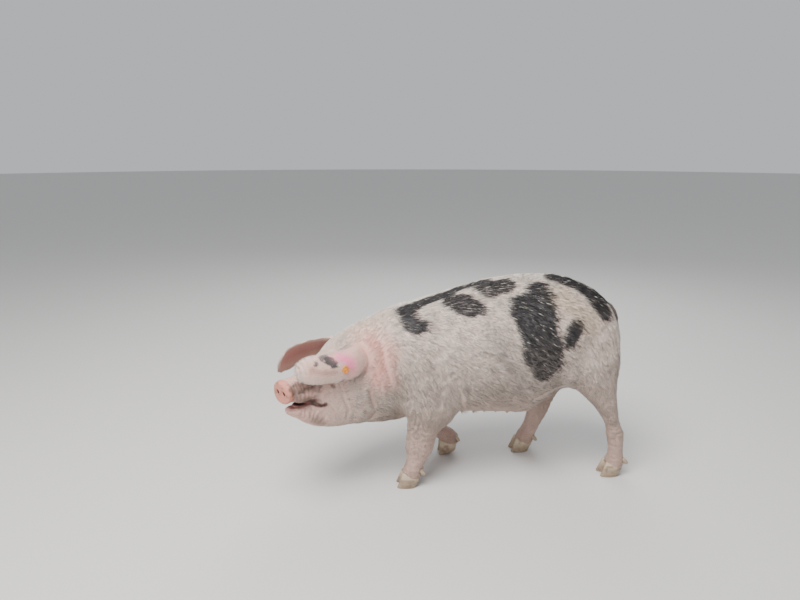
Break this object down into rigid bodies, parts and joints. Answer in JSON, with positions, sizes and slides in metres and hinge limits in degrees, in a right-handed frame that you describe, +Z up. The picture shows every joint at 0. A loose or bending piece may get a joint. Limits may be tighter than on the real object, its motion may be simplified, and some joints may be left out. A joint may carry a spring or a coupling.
{
  "type": "gloucestershire old spot pig",
  "caption": "Still life-size model of a spotted lop-eared sow, walking with her head low and turned to her left, with a round tag in one ear.",
  "frame": {"origin": "on the floor, under the middle of the bounding box", "axes": "+X towards the rump, -X towards the snout, -Y towards the animal's left side, +Z up"},
  "size_m": [1.5214, 0.5693, 0.8949],
  "materials": {
    "skin": "matt skin under a short white coat with black patches",
    "snout_skin": "bare moist skin",
    "eye": "wet gloss",
    "horn": "satin horn",
    "tag": "satin plastic"
  },
  "bodies": {
    "root": {"head": "skin", "neck": "skin", "torso": "skin", "tail": "skin", "snout": "snout_skin", "ear_left": "skin", "ear_right": "skin", "foreleg_left": "skin", "foreleg_right": "skin", "hindleg_left": "skin", "hindleg_right": "skin", "eye_left": "eye", "eye_right": "eye", "foreleg_left_claw_inner": "horn", "foreleg_left_claw_outer": "horn", "foreleg_left_dewclaw_inner": "horn", "foreleg_left_dewclaw_outer": "horn", "foreleg_right_claw_inner": "horn", "foreleg_right_claw_outer": "horn", "foreleg_right_dewclaw_inner": "horn", "foreleg_right_dewclaw_outer": "horn", "hindleg_left_claw_inner": "horn", "hindleg_left_claw_outer": "horn", "hindleg_left_dewclaw_inner": "horn", "hindleg_left_dewclaw_outer": "horn", "hindleg_right_claw_inner": "horn", "hindleg_right_claw_outer": "horn", "hindleg_right_dewclaw_inner": "horn", "hindleg_right_dewclaw_outer": "horn", "ear_tag_button": "tag", "ear_tag_stud": "tag"}
  },
  "joints": []
}
